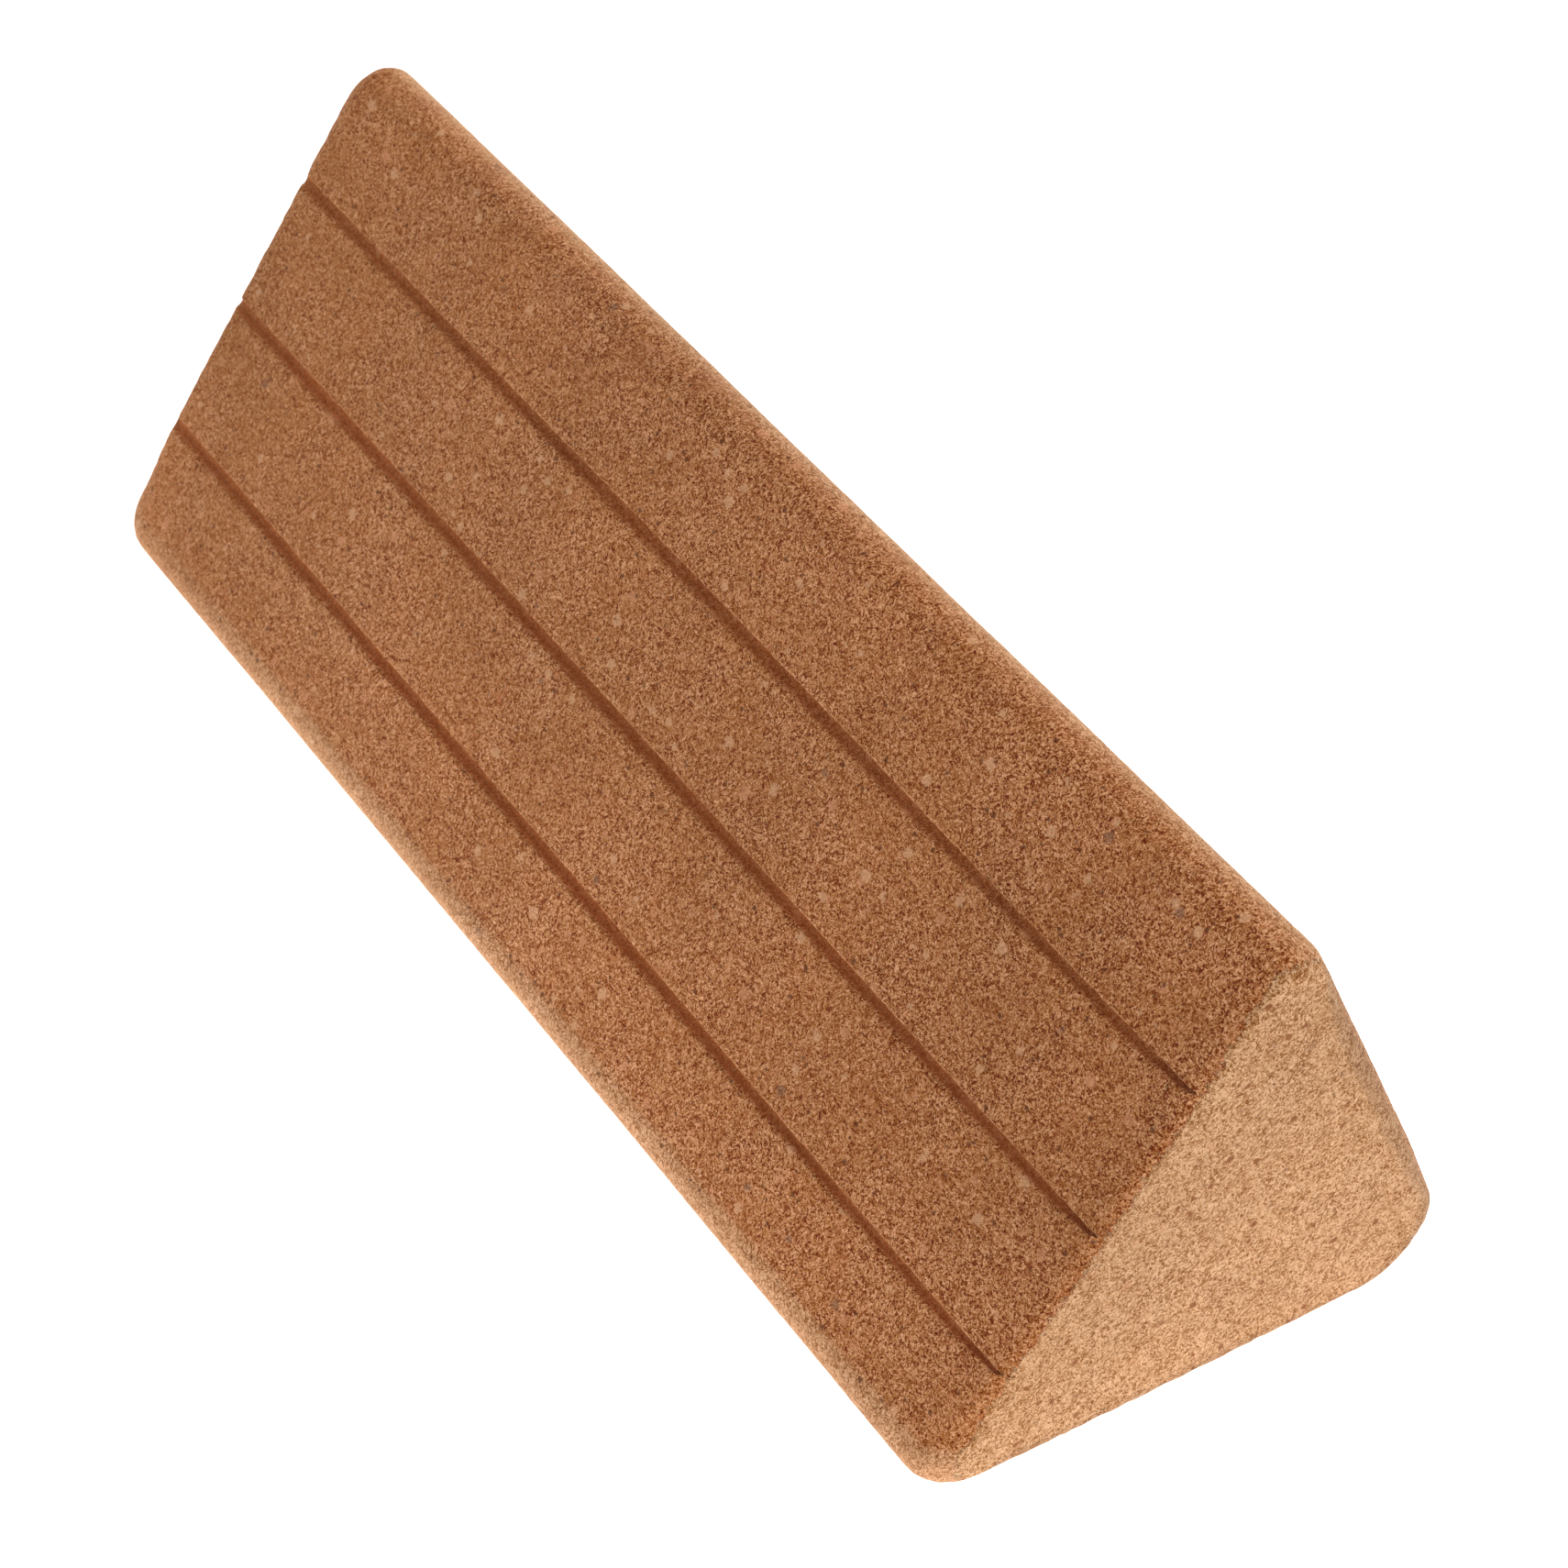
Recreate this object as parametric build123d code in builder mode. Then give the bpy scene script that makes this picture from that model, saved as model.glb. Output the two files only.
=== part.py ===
from build123d import *
import math
import os

# Cork hand sanding block: one solid piece of fine agglomerated cork.
#
# A straight prism with an equilateral triangular section, rounded along its
# three long edges and eased around both ends. One long face carries three
# shallow grooves that run the whole length. The other two long faces are plain.
#
# Frame: +X along the length, +Z up, the block resting on a plain long face.
# The grooved face looks towards -Y (the front) and up, the other plain face
# towards +Y (the back) and up, and the ridge between them runs along the top.
# Origin: bottom centre of the bounding box, at mid length.
# Millimetres.

length = 120.0  # end face to end face
side = 51.2  # side of the triangle before its corners are rounded

front_radius = 2.4  # lower long edge of the grooved face
back_radius = 5.2  # long edge between the base and the plain sloping face
ridge_radius = 3.0  # top long edge
end_ease = 1.5  # rounding of the edges around each end face

groove_mouth = 1.35  # width at the grooved face
groove_floor = 0.75  # width at the floor, before its corners are rounded
groove_depth = 0.7  # below the grooved face
groove_floor_radius = 0.25  # where walls meet the floor
groove_from_front = (12.8, 24.8, 36.9)  # up the slope, from the sharp lower corner
cutter_rise = groove_mouth  # how far the groove cutter stands out of the face

# The sharp triangle is placed so that the rounded section is centred on Y = 0.
# Rounding a 60 degree corner by r takes (sqrt(3) - 1) * r off the width there.
rounding_loss = math.sqrt(3) - 1
front_corner_y = -side / 2 + rounding_loss * (back_radius - front_radius) / 2
back_corner_y = front_corner_y + side
ridge_y = front_corner_y + side / 2
sharp_height = side * math.sqrt(3) / 2

# Plane of the groove profile, across the block at its -X end. Its X runs up the
# slope of the grooved face from the lower corner, its Y points square into the
# cork, and its normal points out of the block, towards -X.
slope = math.radians(60)
groove_plane = Plane(
    origin=(-length / 2, front_corner_y, 0),
    x_dir=(0, math.cos(slope), math.sin(slope)),
    z_dir=(-1, 0, 0),
)


with BuildPart() as cork_block:
    # The sharp triangular section, drawn in the Y-Z plane and extruded along X.
    with BuildSketch(Plane.YZ.offset(-length / 2)):
        with BuildLine():
            Polyline(
                (front_corner_y, 0),
                (back_corner_y, 0),
                (ridge_y, sharp_height),
                close=True,
            )
        make_face()
    extrude(amount=length)

    # Long edges: the ridge first, then the two along the base. The base edges
    # are picked afresh each time, since every fillet makes new edges.
    ridge_edge = cork_block.edges().filter_by(Axis.X).sort_by(Axis.Z)[-1]
    fillet(ridge_edge, radius=ridge_radius)
    for place_along_y, radius in ((0, front_radius), (-1, back_radius)):
        base_edges = cork_block.edges().filter_by(Axis.X).group_by(Axis.Z)[0]
        fillet(base_edges.sort_by(Axis.Y)[place_along_y], radius=radius)

    # Both end faces keep a small soft edge all the way round.
    end_edges = cork_block.faces().filter_by(Axis.X).edges()
    fillet(end_edges, radius=end_ease)

    # The grooves are cut after the ends are eased, so they run out on the
    # rounding there and their own edges stay sharp.
    with BuildSketch(groove_plane) as groove_profile:
        for distance in groove_from_front:
            with BuildLine():
                Polyline(
                    (distance - groove_mouth / 2, -cutter_rise),
                    (distance - groove_mouth / 2, 0),
                    (distance - groove_floor / 2, groove_depth),
                    (distance + groove_floor / 2, groove_depth),
                    (distance + groove_mouth / 2, 0),
                    (distance + groove_mouth / 2, -cutter_rise),
                    close=True,
                )
            make_face()
        floor_corners = groove_profile.vertices().group_by(Axis.Y)[-1]
        fillet(floor_corners, radius=groove_floor_radius)
    # Negative, because the block lies behind the plane's normal.
    extrude(amount=-length, mode=Mode.SUBTRACT)


cork_block.part.label = "cork_block"

os.makedirs("parts", exist_ok=True)
export_step(cork_block.part, "parts/cork_block.step")
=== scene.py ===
"""A three-sided cork block with three lengthwise grooves, on a white light table.

The block lies along X, centred on x = 0, with its base on z = 0. Its grooved face looks
towards -Y and up, its plain slope towards +Y and up, and they meet in a ridge on top.
"Front" is the -Y corner and "back" the +Y one. The near end is at +X, the far end at -X.
The block is worked out in millimetres; floor, lights and camera are in metres.
"""

import math
from itertools import product
from types import SimpleNamespace

import bpy
import numpy as np
from mathutils import Matrix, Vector
from mathutils.geometry import delaunay_2d_cdt


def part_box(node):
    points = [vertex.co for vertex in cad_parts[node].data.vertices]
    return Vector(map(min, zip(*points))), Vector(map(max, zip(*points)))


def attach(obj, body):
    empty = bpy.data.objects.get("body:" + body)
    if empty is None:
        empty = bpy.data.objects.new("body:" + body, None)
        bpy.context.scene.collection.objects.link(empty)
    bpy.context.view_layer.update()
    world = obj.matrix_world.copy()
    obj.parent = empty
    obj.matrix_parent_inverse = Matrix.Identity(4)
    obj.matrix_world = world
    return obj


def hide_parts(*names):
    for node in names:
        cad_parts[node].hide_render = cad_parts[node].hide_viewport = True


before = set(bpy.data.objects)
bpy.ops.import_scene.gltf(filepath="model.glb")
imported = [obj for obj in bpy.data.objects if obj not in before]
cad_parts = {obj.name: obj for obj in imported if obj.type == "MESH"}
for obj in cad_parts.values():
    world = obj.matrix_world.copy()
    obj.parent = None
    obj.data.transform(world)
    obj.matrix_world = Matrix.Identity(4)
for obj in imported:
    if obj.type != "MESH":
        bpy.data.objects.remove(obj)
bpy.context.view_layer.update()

MILLI = 0.001
SEED = 20417
SQRT3 = math.sqrt(3)

# ---------------------------------------------------------------- dimensions, mm
FRONT_RADIUS, BACK_RADIUS, RIDGE_RADIUS = 2.4, 5.2, 3.0

# Spacing of the outline's points, and of the rings along the length
FINE_ARC_STEP, BACK_ARC_STEP = 0.38, 0.45
GROOVED_STEP, PLAIN_STEP, BASE_STEP = 0.43, 0.52, 0.80
RING_STEP = 0.43

# Each groove: distance up the slope from the sharp front corner at mid length, and its
# shift up the slope at the +X end (the opposite shift at the -X end)
GROOVES = ((12.8, -0.30), (24.8, -0.16), (36.9, -0.12))
GROOVE_DEPTH = 0.7
# Offset up the slope from the groove's centre, and share of the full depth
GROOVE_PROFILE = (
    (-0.94, 0.0), (-0.72, 0.0), (-0.62, 0.06), (-0.54, 0.30), (-0.45, 0.66),
    (-0.34, 0.90), (-0.16, 0.97), (0.06, 1.0), (0.24, 1.0), (0.40, 1.0),
    (0.49, 0.84), (0.54, 0.46), (0.58, 0.10), (0.62, 0.0), (0.76, 0.0),
)
LIP_OFFSET = GROOVE_PROFILE[-2][0]
CLOSING_OFFSET = 0.56  # a groove closes onto this offset at the near end

# The parts of the outline in order, and the flat end faces
FRONT, GROOVED, RIDGE, PLAIN, BACK, BASE, END = range(7)
FLATS = (GROOVED, PLAIN, BASE)

# Size of the rounding into each end face, by part from FRONT to BASE
EASE_NEAR = (3.3, 1.15, 1.9, 1.6, 2.9, 1.6)
EASE_FAR = (3.5, 1.4, 2.1, 1.5, 2.6, 1.5)
# Where the end face's colour starts, by part: a larger value is further round the edge
END_BORDER = (1.0, 0.30, 1.2, 0.8, 1.1, 0.9)
CORNER_BLEND = 5.0  # reach of a corner's rounding into the flats beside it
EASE_ANGLES = np.radians([14, 28, 41, 53, 64, 74, 83, 90])
END_ZONE = 3.9  # length at each end that the evenly spaced rings leave free
END_ZONE_RINGS = 8
END_STEP_FAR, END_STEP_NEAR = 0.68, 0.52  # point spacing of the end faces
END_JITTER = 0.1
END_CLEARANCE = 0.36  # least gap between an end face's inner points and its rim

# The CAD box gives the section's size. Rounding a 60 degree corner takes corner_loss
# times the radius off its reach in Y.
low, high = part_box("cork_block")
half_length = (high[0] - low[0]) / 2 / MILLI
corner_loss = SQRT3 - 1
front_y = low[1] / MILLI - corner_loss * FRONT_RADIUS
back_y = high[1] / MILLI + corner_loss * BACK_RADIUS
side = back_y - front_y
mid_y = (front_y + back_y) / 2
corner_front = np.array([front_y, 0.0])
corner_back = np.array([back_y, 0.0])
corner_ridge = np.array([mid_y, side * SQRT3 / 2])
centroid = np.array([corner_front, corner_back, corner_ridge]).mean(0)
CORNERS = {FRONT: corner_front, RIDGE: corner_ridge, BACK: corner_back}


# ------------------------------------------------------------- seeded 3-D noise
def hashed(i, j, k, seed):
    """One number in 0..1 for each lattice point."""
    bits = (
        i.astype(np.uint64) * np.uint64(0x9E3779B97F4A7C15)
        ^ j.astype(np.uint64) * np.uint64(0xC2B2AE3D27D4EB4F)
        ^ k.astype(np.uint64) * np.uint64(0x165667B19E3779F9)
        ^ np.uint64(seed * 7919 + 13)
    )
    for factor in (0xFF51AFD7ED558CCD, 0xC4CEB9FE1A85EC53):
        bits ^= bits >> np.uint64(33)
        bits *= np.uint64(factor)
    bits ^= bits >> np.uint64(33)
    return (bits >> np.uint64(11)).astype(np.float64) / float(1 << 53)


def smooth_noise(points, size, layer):
    """Value noise in -1..1, with features about size across. Each layer differs."""
    scaled = points / size + 1000.0
    cell = np.floor(scaled)
    part = scaled - cell
    part = part * part * part * (part * (part * 6 - 15) + 10)
    cell = cell.astype(np.int64)
    total = np.zeros(len(points))
    for step in product((0, 1), repeat=3):
        weight = 1.0
        for axis in range(3):
            weight = weight * (part[:, axis] if step[axis] else 1 - part[:, axis])
        total += weight * hashed(*(cell + step).T, SEED + layer)
    return total * 2 - 1


def cells(points, size, layer):
    """Distances to the nearest and second cell point, and the nearest cell's number."""
    scaled = points / size + 1000.0
    base = np.floor(scaled).astype(np.int64)
    first = np.full(len(points), 9.0)
    second = np.full(len(points), 9.0)
    own = np.zeros(len(points))
    seed = SEED + layer
    for step in product((-1, 0, 1), repeat=3):
        i, j, k = (base + step).T
        x = i + hashed(i, j, k, seed) - scaled[:, 0]
        y = j + hashed(i, j, k, seed + 1) - scaled[:, 1]
        z = k + hashed(i, j, k, seed + 2) - scaled[:, 2]
        reach = np.sqrt(x ** 2 + y ** 2 + z ** 2)
        nearer = reach < first
        second = np.where(nearer, first, np.minimum(second, reach))
        own = np.where(nearer, hashed(i, j, k, seed + 3), own)
        first = np.where(nearer, reach, first)
    return first * size, second * size, own


def noise_vectors(points, size, layers):
    return np.stack([smooth_noise(points, size, layer) for layer in layers], 1)


def ramp(value, start, end):
    """A smooth step from 0 at start to 1 at end."""
    share = np.clip((value - start) / (end - start), 0, 1)
    return share * share * (3 - 2 * share)


# ------------------------------------------------------------- the outline, in Y and Z
def unit(vector):
    return vector / np.hypot(vector[0], vector[1])


def arc(corner, before, after, radius, step):
    """Points and normals of a corner's rounding, from the side before to the side after."""
    to_before, to_after = unit(before - corner), unit(after - corner)
    first = corner + to_before * radius * SQRT3
    last = corner + to_after * radius * SQRT3
    centre = corner + unit(to_before + to_after) * radius * 2
    angle_first = math.atan2(*(first - centre)[::-1])
    angle_last = math.atan2(*(last - centre)[::-1])
    turn = (angle_last - angle_first + math.pi) % (2 * math.pi) - math.pi
    pieces = max(6, round(abs(turn) * radius / step))
    angles = angle_first + np.linspace(0, 1, pieces + 1) * turn
    cosine, sine = np.cos(angles), np.sin(angles)
    points = np.stack([centre[0] + radius * cosine, centre[1] + radius * sine], 1)
    return points, np.stack([cosine, sine], 1)


def flat(start, end, step):
    """Evenly spaced points between two ends, without the ends."""
    pieces = round(np.hypot(*(end - start)) / step)
    return start + (end - start) * np.linspace(0, 1, pieces + 1)[1:-1][:, None]


def grooved_stations():
    """Distance up the grooved face and share of groove depth, point by point."""
    start = FRONT_RADIUS * SQRT3
    stop = side - RIDGE_RADIUS * SQRT3
    stations = [(centre + offset, share)
                for centre, _ in GROOVES for offset, share in GROOVE_PROFILE]
    limits = [start] + [centre for centre, _ in GROOVES] + [stop]
    for lower, upper in zip(limits, limits[1:]):
        if lower != start:
            lower += GROOVE_PROFILE[-1][0]
        if upper != stop:
            upper += GROOVE_PROFILE[0][0]
        pieces = round((upper - lower) / GROOVED_STEP)
        stations += [(place, 0.0) for place in np.linspace(lower, upper, pieces + 1)[1:-1]]
    return np.array(sorted(stations)).T


front_arc, front_normals = arc(
    corner_front, corner_back, corner_ridge, FRONT_RADIUS, FINE_ARC_STEP)
ridge_arc, ridge_normals = arc(
    corner_ridge, corner_front, corner_back, RIDGE_RADIUS, FINE_ARC_STEP)
back_arc, back_normals = arc(
    corner_back, corner_ridge, corner_front, BACK_RADIUS, BACK_ARC_STEP)
up_slope = unit(corner_ridge - corner_front)
down_slope = unit(corner_back - corner_ridge)
grooved_normal = np.array([-up_slope[1], up_slope[0]])
plain_normal = np.array([-down_slope[1], down_slope[0]])
face_along, face_depth = grooved_stations()

parts = (  # part, points, outward normals
    (FRONT, front_arc, front_normals),
    (GROOVED, corner_front + up_slope * face_along[:, None], grooved_normal),
    (RIDGE, ridge_arc, ridge_normals),
    (PLAIN, flat(ridge_arc[-1], back_arc[0], PLAIN_STEP), plain_normal),
    (BACK, back_arc, back_normals),
    (BASE, flat(back_arc[-1], front_arc[0], BASE_STEP), np.array([0.0, -1.0])),
)
outline = np.concatenate([points for _, points, _ in parts])
normals = np.concatenate([np.broadcast_to(out, points.shape) for _, points, out in parts])
owner = np.concatenate([np.full(len(points), part) for part, points, _ in parts])
count = len(outline)
along = np.zeros(count)
along[owner == GROOVED] = face_along
depth = np.zeros(count)
depth[owner == GROOVED] = face_depth * GROOVE_DEPTH

chord = np.hypot(*(np.roll(outline, -1, 0) - outline).T)
around = np.concatenate([[0], np.cumsum(chord)[:-1]])
girth = chord.sum()


def gap_around(place):
    """Each outline point's distance from a place, the shorter way round."""
    gap = np.abs(around - place)
    return np.minimum(gap, girth - gap)


def easing(amounts):
    """The amount at each outline point: flats blend into the corners beside them."""
    eased = np.array(amounts)[owner]
    for part in CORNERS:
        span = around[owner == part]
        for edge in (span[0], span[-1]):
            share = np.exp(-((gap_around(edge) / CORNER_BLEND) ** 2))
            eased = np.where(
                np.isin(owner, FLATS), eased + (amounts[part] - eased) * share, eased)
    return eased


def inward(amounts):
    """How each outline point moves in the section as the end face is reached. Each
    corner's rounding moves whole along its bisector, and the flats beside it follow."""
    move = -normals * np.where(np.isin(owner, FLATS), np.array(amounts)[owner], 0.0)[:, None]
    for part, corner in CORNERS.items():
        span = around[owner == part]
        gap = np.minimum(gap_around(span[0]), gap_around(span[-1]))
        share = np.where(owner == part, 1.0, np.exp(-((gap / CORNER_BLEND) ** 2)))[:, None]
        move = move * (1 - share) + unit(centroid - corner) * amounts[part] * share
    return move


# ------------------------------------------------------------- the shell's rings
def ring_points(xs, move):
    """One ring. xs is each point's place along the length, move its shift in the section."""
    near_share = ramp(xs, 5, 55)
    closed_share = 0.50 * ramp(xs, 53.0, 59.2) + 0.42 * ramp(xs, 58.7, 59.8)
    shift = np.zeros(count)
    for centre, end_shift in GROOVES:
        offset = along - centre
        # the groove wanders, and takes the face beside it along
        weight = 1 - ramp(np.abs(offset), 1.6, 5.5)
        shift += weight * end_shift * xs / half_length
        # it narrows towards the +X end
        narrowing = 0.26 * near_share * (np.abs(offset) < 0.8)
        shift -= offset * narrowing
        # then closes to a point from its lower side
        closing = closed_share * ((offset < CLOSING_OFFSET) & (offset > -0.8))
        shift += (CLOSING_OFFSET - offset) * closing * (1 - narrowing)
    shift = np.where(owner == GROOVED, shift, 0)
    points = outline + up_slope * shift[:, None]
    # a groove is only as deep as what the easing has left of the face above it, is
    # shallower towards both ends, and runs out just short of the +X end
    sink = np.maximum(depth + (move * normals).sum(1), 0)
    sink = sink * (1 - 0.25 * near_share) * (1 - ramp(xs, 58.8, 59.8))
    sink = sink * (0.88 + 0.12 * ramp(xs, -50, 0))
    points = points - normals * np.where(depth > 0, sink, 0)[:, None] + move
    return np.concatenate([xs[:, None], points], 1)


body_half = half_length - END_ZONE
border = easing(END_BORDER)
still = np.zeros((count, 2))
off_end = np.full(count, -9.0)  # far outside the end face's colour


def end_rings(sign, amounts):
    """Rings outward from the body to one end face: straight ones, then the rounding.
    Each is its points, its turn towards the end, and its distance inside the colour border."""
    ease, move = easing(amounts), inward(amounts)
    made = []
    for share in np.linspace(0, 1, END_ZONE_RINGS + 1)[1:]:
        xs = sign * (body_half + (half_length - ease - body_half) * share)
        made.append((ring_points(xs, still), 0.0, off_end))
    for angle in EASE_ANGLES:
        xs = sign * (half_length - ease * (1 - math.sin(angle)))
        points = ring_points(xs, move * (1 - math.cos(angle)))
        made.append((points, angle, border - (math.pi / 2 - angle) * ease))
    return made


body_xs = np.linspace(-body_half, body_half, round(2 * body_half / RING_STEP) + 1)
body_rings = [(ring_points(np.full(count, x), still), 0.0, off_end) for x in body_xs]
rings, ring_turn, ring_edge = zip(
    *end_rings(-1, EASE_FAR)[::-1], *body_rings, *end_rings(1, EASE_NEAR))
rings = np.array(rings)
ring_count = len(rings)

index = np.arange(ring_count * count).reshape(ring_count, count)
this_ring, next_ring = index[:-1], index[1:]
quads = np.stack([
    this_ring, next_ring, np.roll(next_ring, -1, 1), np.roll(this_ring, -1, 1),
], -1).reshape(-1, 4)


# ------------------------------------------------------------- the end faces
def inside(points, loop):
    """Which points lie inside a closed loop, by counting crossings."""
    hit = np.zeros(len(points), bool)
    x, y = points.T
    for (x0, y0), (x1, y1) in zip(loop, np.roll(loop, -1, 0)):
        if y0 != y1:
            crosses = (y0 > y) != (y1 > y)
            hit ^= crosses & (x < (x1 - x0) * (y - y0) / (y1 - y0) + x0)
    return hit


def end_face(ring_index, step, first_new):
    """Fill the last ring with a triangulated field of points, numbered from first_new."""
    loop = rings[ring_index][:, 1:]
    ys = np.arange(loop[:, 0].min(), loop[:, 0].max(), step)
    zs = np.arange(loop[:, 1].min(), loop[:, 1].max(), step * SQRT3 / 2)
    grid = np.array([(y + (step / 2 if k % 2 else 0), z) for k, z in enumerate(zs) for y in ys])
    grid += rng.uniform(-END_JITTER, END_JITTER, grid.shape)
    reach = np.hypot(grid[:, :1] - loop[:, 0], grid[:, 1:] - loop[:, 1])
    gap = reach.min(1)
    edge = gap + border[reach.argmin(1)]
    kept = inside(grid, loop) & (gap > END_CLEARANCE)
    grid = grid[kept]

    points = [tuple(point) for point in np.concatenate([loop, grid])]
    rim = [(i, (i + 1) % count) for i in range(count)]
    _, _, faces, sources, _, _ = delaunay_2d_cdt(points, rim, [], 1, 1e-7)
    numbers = np.concatenate([index[ring_index], first_new + np.arange(len(grid))])
    source_of = {i: source[0] for i, source in enumerate(sources) if source}
    triangles = [[numbers[source_of[i]] for i in face] for face in faces]
    xs = np.full((len(grid), 1), loop_side(ring_index) * half_length)
    return np.concatenate([xs, grid], 1), edge[kept], triangles


def loop_side(ring_index):
    return -1.0 if ring_index == 0 else 1.0


rng = np.random.default_rng(SEED)
ring_verts = rings.reshape(-1, 3)
far_verts, far_edge, far_tris = end_face(0, END_STEP_FAR, len(ring_verts))
near_verts, near_edge, near_tris = end_face(
    ring_count - 1, END_STEP_NEAR, len(ring_verts) + len(far_verts))
verts = np.concatenate([ring_verts, far_verts, near_verts])

# turn every end triangle outwards
tris = np.array(far_tris + near_tris)
first, second, third = (verts[tris[:, i]] for i in range(3))
facing = np.cross(second - first, third - first)[:, 0] * first[:, 0]
tris = np.where((facing > 0)[:, None], tris, tris[:, ::-1])


# ------------------------------------------------------------- values at each vertex
def per_vertex(values, on_ends):
    """Repeat an outline's values over every ring, with one value for the end faces."""
    inner = np.full(len(verts) - len(ring_verts), on_ends)
    return np.concatenate([np.tile(values, ring_count), inner])


def vertex_normals(points):
    total = np.zeros_like(points)
    for faces in (quads[:, [0, 1, 2]], quads[:, [0, 2, 3]], tris):
        start = points[faces[:, 0]]
        normal = np.cross(points[faces[:, 1]] - start, points[faces[:, 2]] - start)
        for corner in range(3):
            np.add.at(total, faces[:, corner], normal)
    return total / (np.linalg.norm(total, axis=1)[:, None] + 1e-12)


vert_x = verts[:, 0].copy()
vert_owner = per_vertex(owner, END)
vert_depth = per_vertex(depth / GROOVE_DEPTH, 0.0)
vert_along = per_vertex(along, 0.0)
lean = per_vertex(normals @ grooved_normal, 0.0)  # 1 where it faces as the grooved face
# how far each vertex has turned towards the end face, 0..1
turned = np.concatenate([
    np.repeat(np.sin(np.array(ring_turn)), count), np.ones(len(verts) - len(ring_verts))])
smooth_normals = vertex_normals(verts)
on_grooved, on_ridge = vert_owner == GROOVED, vert_owner == RIDGE

on_end = np.clip((np.concatenate([*ring_edge, far_edge, near_edge]) + 1.0) / 2.0, 0, 1)

in_groove = ramp(vert_depth, 0.15, 0.7) * (1 - ramp(vert_x, 58.3, 59.5))
in_groove *= 1 - ramp(turned, 0.3, 0.8)
in_groove *= 1 - 0.25 * ramp(vert_along, 30.0, 34.0)  # the top groove is the least marked

# a band on the upper walls of the grooves, and the face right beside them
groove_gap = np.min([np.abs(vert_along - centre) for centre, _ in GROOVES], 0)
groove_rim = ramp(vert_depth, 0.0, 0.03) * (1 - ramp(vert_depth, 0.3, 0.7))
beside = on_grooved & (vert_depth < 0.03) & (groove_gap < 0.95)
groove_rim = np.maximum(groove_rim, np.where(beside, 0.6, 0))

# the upper lip of each groove gets a painted highlight: a thin light line where its edge
# catches the light
lip_highlight = np.zeros(len(verts))
for centre, _ in GROOVES:
    lip_highlight[on_grooved & (np.abs(vert_along - centre - LIP_OFFSET) < 0.005)] = 1.0
lip_highlight *= (1 - ramp(vert_x, 58.0, 59.4)) * (1 - ramp(turned, 0.1, 0.4))
lip_highlight *= 0.35 + 0.65 * ramp(vert_x, -10, 40)
lip_highlight *= np.clip(0.75 + 0.6 * smooth_noise(verts, size=1.6, layer=80), 0, 1)

# paler along the front and ridge edges, partly wear and partly a painted highlight where they
# catch the light; the front edge pales less towards the far end
front_wear_and_highlight = 0.5 + 0.5 * ramp(vert_x, -58, -25)
front_fade = 1 - ramp(vert_along - FRONT_RADIUS * SQRT3, 0.0, 0.95)
ridge_wear_and_highlight = np.maximum(
    (1 - ramp(lean, -0.15, 0.70)) * ramp(lean, -0.6, -0.2),
    0.45 * (1 - ramp(lean, -0.5, -0.2)),
)
pale = np.select(
    [vert_owner == FRONT, on_grooved, on_ridge, vert_owner == BACK,
     np.isin(vert_owner, (PLAIN, BASE))],
    [0.74 * front_wear_and_highlight, 0.74 * front_fade * front_wear_and_highlight, ridge_wear_and_highlight, 0.6, 0.45],
    0.0,
)

# ------------------------------------------------------------- relief, along the normals
# slow unevenness of a hand-finished block
relief = 0.05 * smooth_noise(verts, size=17.0, layer=10)
relief += 0.025 * smooth_noise(verts, size=6.5, layer=11)

# crumbs of cork: small terraces with crevices between them
warped = verts + noise_vectors(verts, size=0.9, layers=(1, 2, 3)) * 0.28
first, second, own = cells(warped, size=1.15, layer=20)
crumb = (own - 0.5) * 0.030 - 0.022 * np.exp(-((second - first) / 0.12))
crumb += (cells(warped, size=0.72, layer=30)[2] - 0.5) * 0.030
crumb += 0.014 * smooth_noise(verts, size=0.45, layer=12)
roughness = 1 - 0.35 * np.isin(vert_owner, (FRONT, RIDGE, BACK)).astype(float)
roughness = roughness + 0.3 * ramp(smooth_noise(verts, size=8.0, layer=13), 0.1, 0.7)
relief += 0.65 * crumb * roughness * (1 - 0.6 * in_groove)

# torn-out pits, sparse on the faces, more along the ridge and front edge, and more
# still on the ridge by the near end
PITS = (  # cell size, share of cells with a pit, radius, depth, noise layer
    (2.6, 0.14, 0.42, 0.13, 40),
    (1.7, 0.12, 0.32, 0.10, 50),
    (6.5, 0.18, 0.60, 0.16, 60),
)
ragged = verts + noise_vectors(verts, size=0.6, layers=(4, 5, 6)) * 0.22
by_ridge = np.where(on_grooved, ramp(vert_along, 36, 47), 0) + on_ridge
by_front = np.where(on_grooved, 1 - ramp(vert_along, 4.5, 9), 0) + (vert_owner == FRONT) * 0.7
extra_share = 0.35 * by_ridge + 0.15 * by_front
extra_share = extra_share + 1.4 * by_ridge * ramp(ragged[:, 0], 47, 56)
pit = np.zeros(len(verts))
for size, share, radius, pit_depth, layer in PITS:
    reach, _, own = cells(ragged, size, layer)
    live = own < share * (1 + extra_share * 1.6) * (1 - 0.35 * on_end)
    hole = np.where(live, 1 - ramp(reach, radius * 0.35, radius), 0) * (1 - in_groove)
    relief -= hole * pit_depth
    pit = np.maximum(pit, hole)

# crumbly rims along the grooves, and a worn edge around the end faces
crumble = smooth_noise(verts, size=0.75, layer=70)
crumble = np.clip(crumble + 0.35 * smooth_noise(verts, size=2.3, layer=71), 0, 1)
relief -= groove_rim * crumble * 0.08
edge_band = ramp(turned, 0.35, 0.7) * (1 - ramp(turned, 0.92, 1.0))
relief -= edge_band * np.clip(smooth_noise(verts, size=0.9, layer=72) + 0.1, 0, 1) * 0.12

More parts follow.
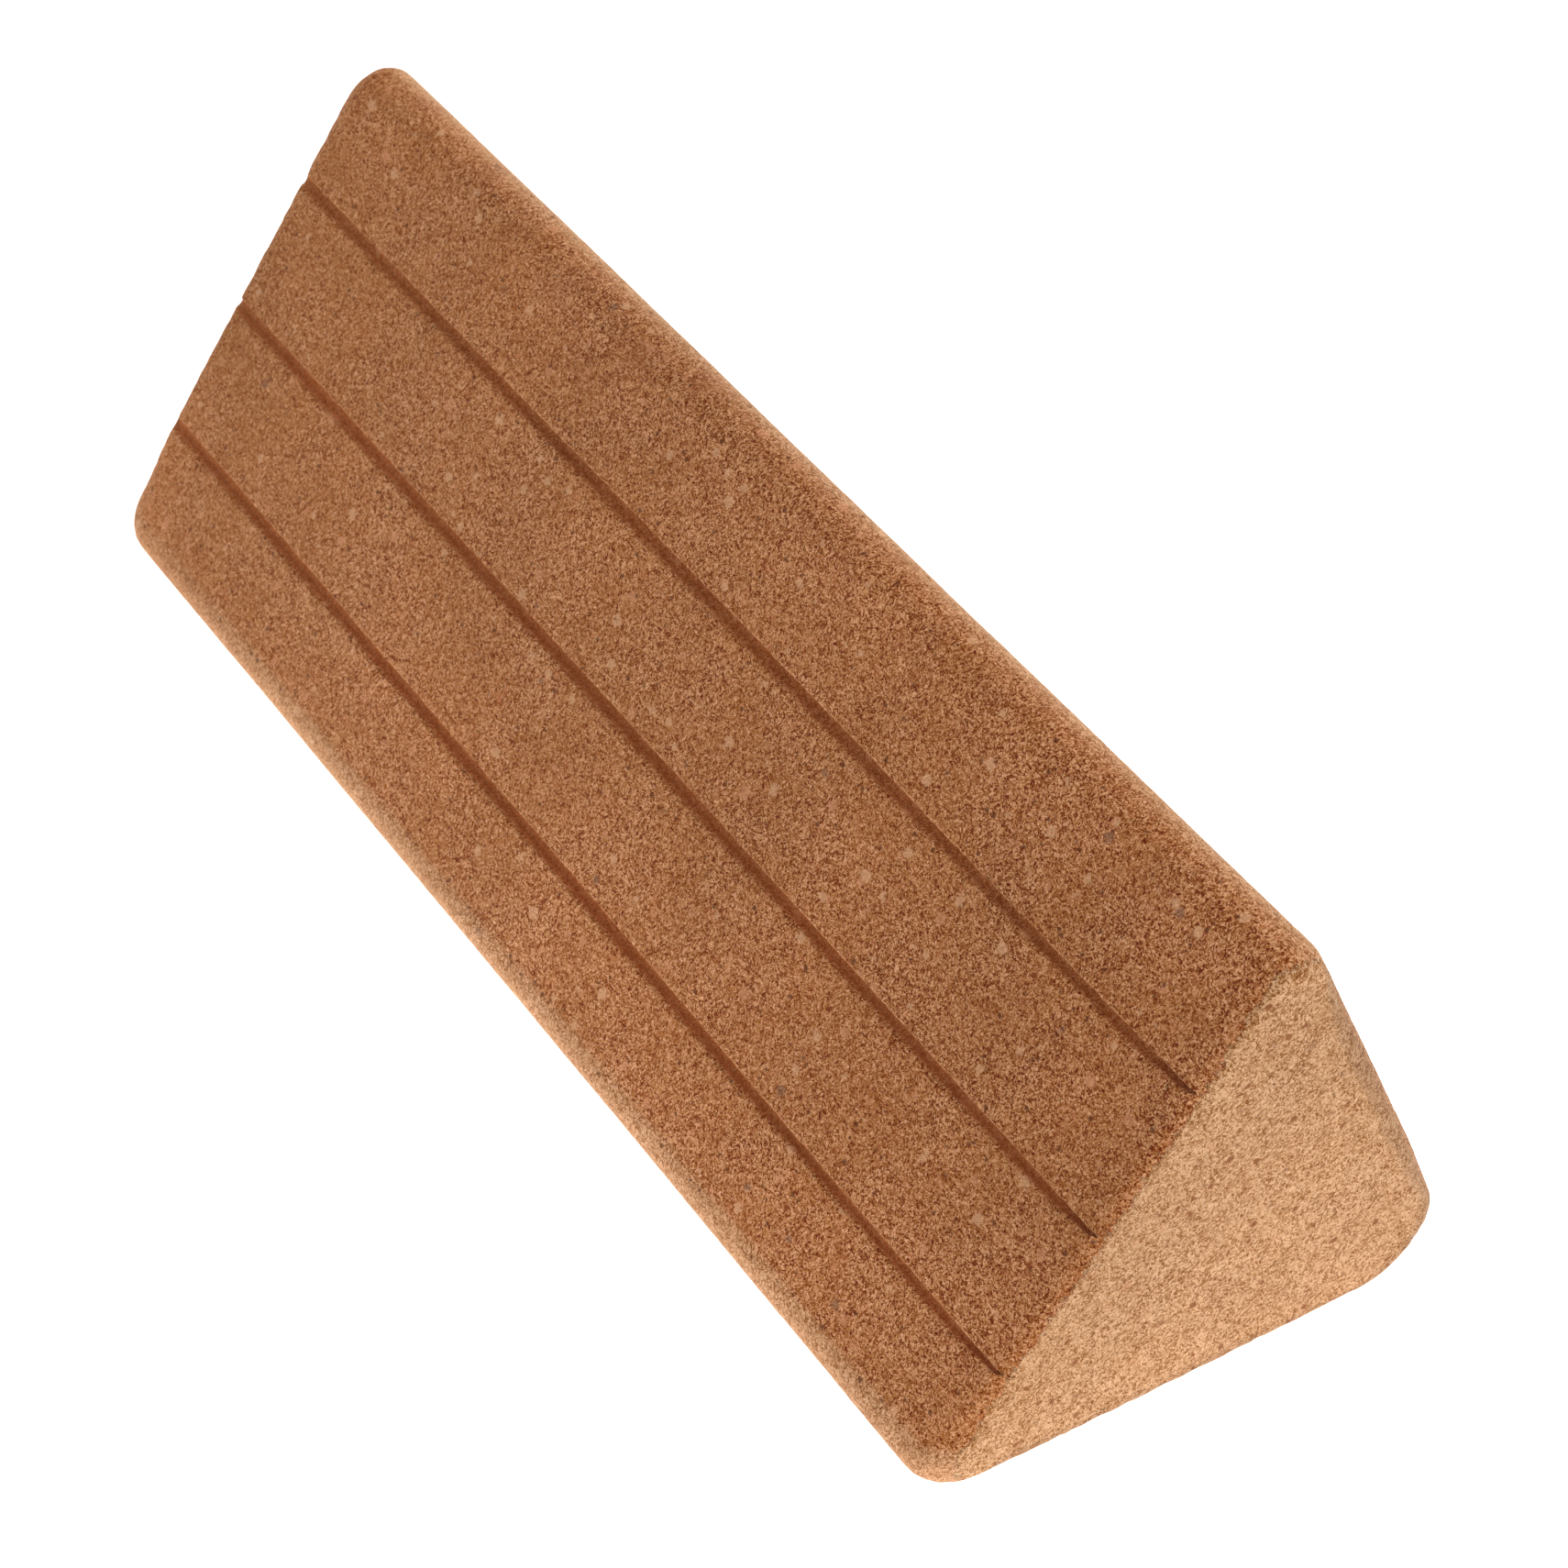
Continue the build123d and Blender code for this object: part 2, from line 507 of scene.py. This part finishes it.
verts = verts + smooth_normals * relief[:, None]
verts[:, 2] = np.maximum(verts[:, 2], 0.0)
verts[:, 0] = np.clip(verts[:, 0], -half_length, half_length)


# ------------------------------------------------------------- the block
def add_object(name, data):
    made = bpy.data.objects.new(name, data)
    bpy.context.scene.collection.objects.link(made)
    return made


def cork_block():
    mesh = bpy.data.meshes.new("cork_body")
    mesh.from_pydata((verts * MILLI).tolist(), [], quads.tolist() + tris.tolist())
    mesh.validate()
    mesh.polygons.foreach_set("use_smooth", [True] * len(mesh.polygons))
    # painted shade: the plain face, back corner, base and far side of the ridge are darkened in
    # colour
    far_side_shade = np.isin(vert_owner, (PLAIN, BACK, BASE)) + on_ridge * (1 - ramp(lean, -0.5, -0.3))
    masks = {  # read by the cork material
        "end_face": on_end,
        "pit": pit,
        "groove": in_groove,
        "pale": pale * (1 - in_groove),
        "lip_highlight": lip_highlight,
        "far_side_shade": far_side_shade,
        "ridge_zone": np.where(on_grooved, ramp(vert_along, 38, 48), 0) + on_ridge,
    }
    for name, values in masks.items():
        layer = mesh.attributes.new(name, "FLOAT", "POINT")
        layer.data.foreach_set("value", values.astype(np.float32))
    mesh.update()
    return add_object("cork_body", mesh)


# ------------------------------------------------------------- shader nodes
RED, GREEN, BLUE = range(3)


class Net:
    """Short calls that add nodes to a tree. All but add give back output sockets."""

    def __init__(self, tree):
        self.tree = tree

    def put(self, socket, value):
        if isinstance(value, bpy.types.NodeSocket):
            self.tree.links.new(value, socket)
        else:
            socket.default_value = value

    def add(self, kind, inputs=None, **settings):
        """A node with its settings, and its inputs by name or number."""
        node = self.tree.nodes.new(kind)
        for key, value in settings.items():
            setattr(node, key, value)
        for key, value in (inputs or {}).items():
            self.put(node.inputs[key], value)
        return node

    def math(self, operation, *values):
        inputs = dict(enumerate(values))
        return self.add("ShaderNodeMath", inputs, operation=operation).outputs[0]

    def times(self, first, second):
        return self.math("MULTIPLY", first, second)

    def total(self, first, *others):
        for other in others:
            first = self.math("ADD", first, other)
        return first

    def centred(self, value, gain):
        """A 0..1 value as a swing about zero."""
        return self.times(self.math("SUBTRACT", value, 0.5), gain)

    def fade(self, value, start=0.0, end=1.0, low=0.0, high=1.0, smooth=True):
        """Run from low to high as value goes from start to end."""
        inputs = dict(enumerate((value, start, end, low, high)))
        kind = "SMOOTHSTEP" if smooth else "LINEAR"
        return self.add("ShaderNodeMapRange", inputs, interpolation_type=kind).outputs[0]

    def blend(self, factor, under, over, mode="MIX"):
        inputs = {0: factor}
        for key, colour in ((6, under), (7, over)):
            is_socket = isinstance(colour, bpy.types.NodeSocket)
            inputs[key] = colour if is_socket else (*colour, 1.0)
        return self.add("ShaderNodeMix", inputs, data_type="RGBA", blend_type=mode).outputs[2]

    def cover(self, colour, over, mask, strength):
        return self.blend(self.times(mask, strength), colour, over)

    def vector(self, operation, first, second):
        inputs = {0: first, "Scale" if operation == "SCALE" else 1: second}
        return self.add("ShaderNodeVectorMath", inputs, operation=operation).outputs[0]

    def noise(self, where, size, detail, rough, output="Fac"):
        inputs = {"Vector": where, "Scale": 1.0 / size, "Detail": detail, "Roughness": rough}
        return self.add("ShaderNodeTexNoise", inputs).outputs[output]

    def grains(self, where, size):
        """Distance from the nearest grain's centre, and that grain's random colour."""
        node = self.add("ShaderNodeTexVoronoi", {"Vector": where, "Scale": 1.0 / size})
        return node.outputs["Distance"], node.outputs["Color"]

    def pick(self, colour, channel):
        return self.add("ShaderNodeSeparateColor", {0: colour}).outputs[channel]

    def chosen(self, colour, channel, above):
        """1 in the grains whose channel is above a threshold."""
        return self.math("GREATER_THAN", self.pick(colour, channel), above)

    def colours(self, factor, stops, mode="LINEAR"):
        node = self.add("ShaderNodeValToRGB", {0: factor})
        node.color_ramp.interpolation = mode
        elements = node.color_ramp.elements
        while len(elements) > 1:
            elements.remove(elements[-1])
        elements[0].position = stops[0][0]
        elements[0].color = (*stops[0][1], 1)
        for position, colour in stops[1:]:
            elements.new(position).color = (*colour, 1)
        return node.outputs[0]

    def attribute(self, name):
        return self.add("ShaderNodeAttribute", attribute_name=name).outputs["Fac"]


# ------------------------------------------------------------- cork material
# Grain tone, and the step in display codes from the middle colour
SIDE_RUN = (
    (0.00, -66), (0.18, -48), (0.34, -24), (0.50, 0), (0.66, 19), (0.82, 36), (1.00, 52))
END_RUN = (
    (0.00, -66), (0.18, -46), (0.34, -21), (0.50, 2), (0.66, 17), (0.82, 29), (1.00, 38))
# paler run for the worn faces and for the painted highlight on the front and ridge edges
WEAR_AND_HIGHLIGHT_RUN = [(tone, 0.8 * step) for tone, step in END_RUN]

RED_CRUMB = (0.520, 0.190, 0.082)
RIDGE_PATCH = (0.270, 0.080, 0.030)
SPECK = (0.090, 0.030, 0.013)
SIDE_BARK, END_BARK = (0.088, 0.020, 0.005), (0.200, 0.050, 0.009)
# painted shade for the pits
PIT_SHADE = (0.150, 0.050, 0.020)
CUT_FAR, CUT_NEAR = (0.490, 0.148, 0.043), (0.470, 0.136, 0.038)
# painted highlight for the upper lips of the grooves
LIP_HIGHLIGHT = (0.560, 0.270, 0.125)
CHIPS = (  # start of each colour's share of the chips: pale, reddish, a few greyish
    (0.00, (0.640, 0.350, 0.185)),
    (0.50, (0.560, 0.235, 0.115)),
    (0.93, (0.175, 0.085, 0.052)),
)


def linear(codes):
    """Display colour codes, 0..255, as linear light."""
    shares = [max(code, 4.0) / 255 for code in codes]
    return [s / 12.92 if s <= 0.04045 else ((s + 0.055) / 1.055) ** 2.4 for s in shares]


def shades(middle, gain, run):
    """A dark-to-light run of one cork colour. The dark end is richer, which keeps the
    hue even once lit."""
    stops = []
    for tone, step in run:
        codes = [code + step * weight for code, weight in zip(middle, (1.0, 1.13, 1.28))]
        stops.append((tone, tuple(value * gain for value in linear(codes))))
    return stops


def cork_fields(net):
    """The coordinates and masks that the layers of the material share."""
    coords = net.add("ShaderNodeTexCoord").outputs["Object"]
    mm = net.vector("SCALE", coords, 1 / MILLI)
    wobble = net.noise(mm, size=0.30, detail=2.0, rough=0.7, output="Color")
    bend = net.vector("SUBTRACT", wobble, (0.5, 0.5, 0.5))

    def bent(amount):
        """Coordinates bent by fine noise, for ragged outlines."""
        return net.vector("ADD", mm, net.vector("SCALE", bend, amount))

    end_border = net.total(
        net.attribute("end_face"),
        net.centred(net.noise(mm, size=0.45, detail=3.0, rough=0.7), gain=1.0),
        net.centred(net.noise(mm, size=1.6, detail=1.0, rough=0.5), gain=0.5),
    )
    return SimpleNamespace(
        mm=mm,
        bent=bent,
        ragged=bent(0.24),
        end=net.fade(end_border, start=0.40, end=0.48),
        groove=net.attribute("groove"),
        ridge=net.attribute("ridge_zone"),
        x=net.add("ShaderNodeSeparateXYZ", {0: mm}).outputs[0],
    )


def fibre_coords(net, cork):
    """Every crumb carries its own run of short fibres, turned at random. Across the end
    face the sawn fibres lie mostly one way."""
    _, flake = net.grains(cork.ragged, size=0.62)
    sawn = net.times(net.math("GREATER_THAN", cork.end, 0.5), 0.62)
    turn = net.add("ShaderNodeMix", {
        0: sawn,
        4: net.vector("SCALE", flake, 6.283),  # a full turn
        5: (math.radians(-38.0), 0.0, 0.0),
    }, data_type="VECTOR").outputs[1]
    spun = net.add("ShaderNodeVectorRotate", {"Vector": cork.ragged, "Rotation": turn},
                   rotation_type="EULER_XYZ").outputs[0]
    return net.vector("MULTIPLY", spun, (1.0, 0.42, 0.90))


def grain_strength(net, cork):
    """Patchy, a little stronger towards the ridge and quieter towards the far end."""
    zone = net.noise(cork.mm, size=7.0, detail=2.0, rough=0.5)
    zone = net.math("ADD", zone, net.times(cork.ridge, 0.10))
    patchy = net.fade(zone, start=0.38, end=0.66, low=0.86, high=1.16)
    return net.times(patchy, net.fade(cork.x, start=-60.0, end=-22.0, low=0.76, high=1.0))


def fine_marks(net, fibres, where, size, channel, outer, inner):
    """Small soft spots in some of the grains."""
    distance, colour = net.grains(where, size)
    body = net.fade(distance, start=outer, end=inner)
    return net.times(body, net.chosen(colour, channel, above=0.55))


def add_grain(net, cork):
    """Adds the tone of the grain, and the fine fields it is made of, to the shared fields."""
    fibres = fibre_coords(net, cork)
    _, crumb = net.grains(cork.ragged, size=0.34)
    cork.crumb_tone = net.pick(crumb, RED)
    cork.crumb_kind = net.pick(crumb, GREEN)
    cork.fleck = net.pick(net.grains(fibres, size=0.14)[1], RED)
    cork.grit = net.noise(fibres, size=0.125, detail=1.0, rough=0.6)
    dust = net.noise(cork.ragged, size=0.097, detail=1.0, rough=0.6)
    mottle = net.noise(cork.mm, size=1.1, detail=2.0, rough=0.6)
    # fine open pores painted dark as shade, and fine slivers painted light as a highlight where
    # they catch the light
    pore_shade = fine_marks(net, fibres, fibres, 0.36, GREEN, outer=0.30, inner=0.12)
    thin = net.vector("MULTIPLY", fibres, (0.8, 1.0, 1.25))
    sliver_highlight = fine_marks(net, fibres, thin, 0.33, BLUE, outer=0.28, inner=0.10)
    swing = net.total(
        net.centred(cork.crumb_tone, gain=0.05),
        net.centred(cork.fleck, gain=0.62),
        net.centred(cork.grit, gain=0.80),
        net.centred(dust, gain=1.85),
        net.centred(mottle, gain=net.fade(cork.end, low=0.08, high=0.55)),
        net.times(net.math("SUBTRACT", sliver_highlight, pore_shade), 0.42),
    )
    swing = net.times(swing, net.fade(cork.end, low=1.10, high=1.38))
    cork.tone = net.math("ADD", net.times(swing, grain_strength(net, cork)), 0.5)


def grain_colour(net, cork):
    """Side, worn and end colours, with some redder crumbs and patches."""
    side_colour = net.colours(cork.tone, shades((160, 99, 50), gain=1.02, run=SIDE_RUN))
    end_colour = net.colours(cork.tone, shades((204, 150, 100), gain=0.70, run=END_RUN))
    wear_and_highlight_colour = net.colours(cork.tone, shades((207, 156, 112), gain=0.76, run=WEAR_AND_HIGHLIGHT_RUN))
    red_crumbs = net.fade(cork.crumb_kind, start=0.90, end=0.94)
    side_colour = net.cover(side_colour, RED_CRUMB, red_crumbs, strength=0.30)
    # paler where worn, and a painted highlight along the front and ridge edges
    side_colour = net.cover(side_colour, wear_and_highlight_colour, net.attribute("pale"), strength=0.90)
    colour = net.blend(cork.end, side_colour, end_colour)
    # redder, darker patches along the ridge side
    patch = net.noise(cork.mm, size=4.0, detail=3.0, rough=0.6)
    patch = net.times(
        net.fade(patch, start=0.50, end=0.66),
        net.times(cork.ridge, net.math("SUBTRACT", 1.0, cork.end)),
    )
    return net.cover(colour, RIDGE_PATCH, patch, strength=0.20)


def with_chips(net, cork, colour):
    """Sparse larger chips with soft outlines."""
    distance, random = net.grains(cork.bent(0.75), size=1.9)
    live, kind, spread = net.add("ShaderNodeSeparateColor", {0: random}).outputs
    size = net.fade(spread, low=0.12, high=0.27, smooth=False)
    body = net.fade(net.math("SUBTRACT", distance, size), start=0.015, end=-0.02)
    mask = net.times(net.math("GREATER_THAN", live, 0.52), body)
    chip_colour = net.blend(0.36, net.colours(kind, CHIPS, mode="CONSTANT"), colour)
    return net.cover(colour, chip_colour, mask, net.fade(cork.end, low=0.88, high=0.35))


def with_bark(net, cork, colour):
    """Dark specks, and fewer, larger crumbs of bark that stand out singly."""
    distance, random = net.grains(cork.bent(0.5), size=0.78)
    body = net.fade(distance, start=0.21, end=0.08)
    rarity = net.fade(net.math("ADD", cork.ridge, cork.end), low=0.86, high=0.80, smooth=False)
    mask = net.times(net.chosen(random, RED, above=rarity), body)
    colour = net.cover(colour, SPECK, mask, net.fade(cork.end, low=0.84, high=0.66))

    distance, random = net.grains(cork.bent(0.42), size=1.3)
    end_growth = net.times(cork.end, 0.078)
    body = net.fade(net.math("SUBTRACT", distance, end_growth), start=0.175, end=0.110)
    rarity = net.fade(cork.end, low=0.70, high=0.82)
    mask = net.times(net.chosen(random, GREEN, above=rarity), body)
    bark = net.blend(cork.end, SIDE_BARK, END_BARK)
    return net.cover(colour, bark, mask, net.fade(cork.end, low=0.78, high=0.90))


def with_cuts(net, cork, colour):
    """Pits darkened as painted shade, smoother and redder grooves, and a painted highlight on
    their upper lips.
    """
    # painted shade in the pits, with ragged edges from the grain
    torn = net.math("ADD", net.attribute("pit"), net.centred(cork.grit, gain=0.9))
    torn = net.fade(torn, start=0.35, end=0.95)
    colour = net.cover(colour, PIT_SHADE, torn, strength=0.42)
    cut = net.blend(net.fade(cork.x, start=-55.0, end=5.0), CUT_FAR, CUT_NEAR)
    colour = net.cover(colour, cut, cork.groove, strength=0.60)
    # painted highlight along the grooves' upper lips
    return net.cover(colour, LIP_HIGHLIGHT, net.attribute("lip_highlight"), strength=0.55)


def with_drift_and_shade(net, cork, colour):
    """Slow drift of tone, a little lighter along the ridge, and painted shade that darkens the
    far sides.
    """
    slow = net.noise(cork.mm, size=15.0, detail=2.0, rough=0.5)
    drift_and_shade = net.times(
        net.fade(slow, start=0.30, end=0.70, low=0.95, high=1.05),
        net.fade(cork.ridge, low=1.0, high=1.06),
    )
    # painted shade on the far sides
    drift_and_shade = net.times(drift_and_shade, net.fade(net.attribute("far_side_shade"), low=1.0, high=0.80))
    tint = net.add("ShaderNodeCombineColor", {0: drift_and_shade, 1: drift_and_shade, 2: drift_and_shade}).outputs[0]
    return net.blend(1.0, colour, tint, mode="MULTIPLY")


def grain_bump(net, cork):
    """The finest relief, weaker in the grooves."""
    height = net.total(
        net.times(cork.crumb_tone, 0.35),
        net.times(cork.grit, 1.30),
        net.times(cork.fleck, 0.22),
    )
    height = net.times(height, net.fade(cork.groove, low=1.0, high=0.55))
    # it dies out right at the end face's border, so that the border draws no line
    off_border = net.math("ABSOLUTE", net.math("SUBTRACT", cork.end, 0.5))
    height = net.times(height, net.fade(off_border, start=0.05, end=0.45))
    inputs = {"Strength": 1.0, "Distance": 0.000085, "Height": height}
    return net.add("ShaderNodeBump", inputs).outputs[0]


def cork_material():
    material = bpy.data.materials.new("composition_cork")
    material.use_nodes = True
    material.node_tree.nodes.clear()
    net = Net(material.node_tree)
    cork = cork_fields(net)
    add_grain(net, cork)
    colour = grain_colour(net, cork)
    for layer in (with_chips, with_bark, with_cuts, with_drift_and_shade):
        colour = layer(net, cork, colour)
    shader = net.add("ShaderNodeBsdfPrincipled", {
        "Base Color": colour,
        "Roughness": net.fade(cork.tone, low=0.95, high=0.82),
        "Normal": grain_bump(net, cork),
        "Specular IOR Level": 0.2,
        "Sheen Weight": 0.30,
        "Sheen Roughness": 0.35,
        "Sheen Tint": (1.0, 0.72, 0.48, 1.0),
        "IOR": 1.4,
    })
    net.add("ShaderNodeOutputMaterial", {0: shader.outputs[0]})
    return material


block = cork_block()
block.data.materials.append(cork_material())
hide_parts("cork_block")
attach(block, "root")

# ------------------------------------------------------------- floor and surround
WHITE = (1, 1, 1, 1)


def floor_material():
    """A light table, brightest under and around the block, so that it lights the
    block's underside edges."""
    material = bpy.data.materials.new("pale_floor")
    material.use_nodes = True
    net = Net(material.node_tree)
    coords = net.add("ShaderNodeTexCoord").outputs["Object"]
    reach = net.add("ShaderNodeVectorMath", {0: coords}, operation="LENGTH").outputs["Value"]
    pool = net.fade(reach, start=0.02, end=0.16, low=2.30, high=0.50)
    # far out, the floor is lifted for the camera alone, so that it runs into the white
    # surround without a horizon
    far_out = net.fade(reach, start=0.20, end=0.90, low=0.0, high=0.8)
    seen = net.add("ShaderNodeLightPath").outputs["Is Camera Ray"]
    surface = {
        "Base Color": (0.86, 0.86, 0.86, 1),
        "Roughness": 0.9,
        "Specular IOR Level": 0.05,
        "Emission Color": WHITE,
        "Emission Strength": net.math("MULTIPLY_ADD", far_out, seen, pool),
    }
    shader = material.node_tree.nodes["Principled BSDF"]
    for name, value in surface.items():
        net.put(shader.inputs[name], value)
    return material


floor_mesh = bpy.data.meshes.new("floor")
floor_mesh.from_pydata([(-3, -3, 0), (3, -3, 0), (3, 3, 0), (-3, 3, 0)], [], [(0, 1, 2, 3)])
floor = add_object("floor", floor_mesh)
floor_mesh.materials.append(floor_material())


def studio_world():
    """White to the camera, dimmer as a light."""
    world = bpy.data.worlds.new("studio")
    bpy.context.scene.world = world
    world.use_nodes = True
    net = Net(world.node_tree)
    lighting = world.node_tree.nodes["Background"]
    net.put(lighting.inputs["Color"], WHITE)
    net.put(lighting.inputs["Strength"], 0.35)
    seen = net.add("ShaderNodeBackground", {"Color": WHITE, "Strength": 1.0})
    either = net.add("ShaderNodeMixShader", {
        0: net.add("ShaderNodeLightPath").outputs["Is Camera Ray"],
        1: lighting.outputs[0],
        2: seen.outputs[0],
    })
    net.put(world.node_tree.nodes["World Output"].inputs[0], either.outputs[0])


studio_world()

# ------------------------------------------------------------- lights
LIGHT_TARGET = np.array([0, 0, 0.018])
SOFTBOXES = (  # name, direction from the block, distance, size, radiance on white
    ("above", (0.0, 0.35, 1.0), 1.2, 0.8, 0.50),
    ("behind", (-0.15, 1.0, 0.45), 0.9, 0.7, 0.48),
    ("right", (1.0, 0.05, 0.30), 0.9, 0.6, 0.34),
    ("left", (-1.0, 0.10, 0.45), 0.9, 0.7, 0.30),
    ("low_left", (-0.25, -1.0, 0.28), 0.9, 0.6, 0.06),
)


def softbox(name, direction, distance, size, radiance):
    """A square area light that faces the block and gives a white surface square to it
    this radiance."""
    light = bpy.data.lights.new(name, "AREA")
    light.shape = "SQUARE"
    light.size = size
    # radiance on white = E / pi, and E = P / (pi * A) * A / r^2 for a small source
    light.energy = radiance * math.pi * math.pi * distance * distance
    back = np.array(direction, float)
    back /= np.linalg.norm(back)
    right = np.cross([0, 0, 1.0], back)
    right /= np.linalg.norm(right)
    pose = np.eye(4)
    place = back * distance + LIGHT_TARGET
    pose[:3] = np.column_stack([right, np.cross(back, right), back, place])
    add_object(name, light).matrix_world = Matrix(pose.tolist())


for box in SOFTBOXES:
    softbox(*box)

# ------------------------------------------------------------- camera
camera = bpy.data.cameras.new("camera")
camera.sensor_width = 36.0
camera.lens = 89.08
camera.clip_start = 0.01
camera.dof.use_dof = True
camera.dof.focus_distance = 0.268
camera.dof.aperture_fstop = 125.0
view = add_object("camera", camera)
view.matrix_world = Matrix((  # columns: right, up, backwards, place
    (0.5572708, -0.5894256, 0.5848305, 179.719 * MILLI),
    (0.8246946, 0.3109780, -0.4724102, (-141.118 + mid_y) * MILLI),
    (0.0965813, 0.7455670, 0.6593951, 209.977 * MILLI),
    (0, 0, 0, 1),
))
scene = bpy.context.scene
scene.camera = view
scene.view_settings.view_transform = "Standard"
scene.view_settings.look = "None"
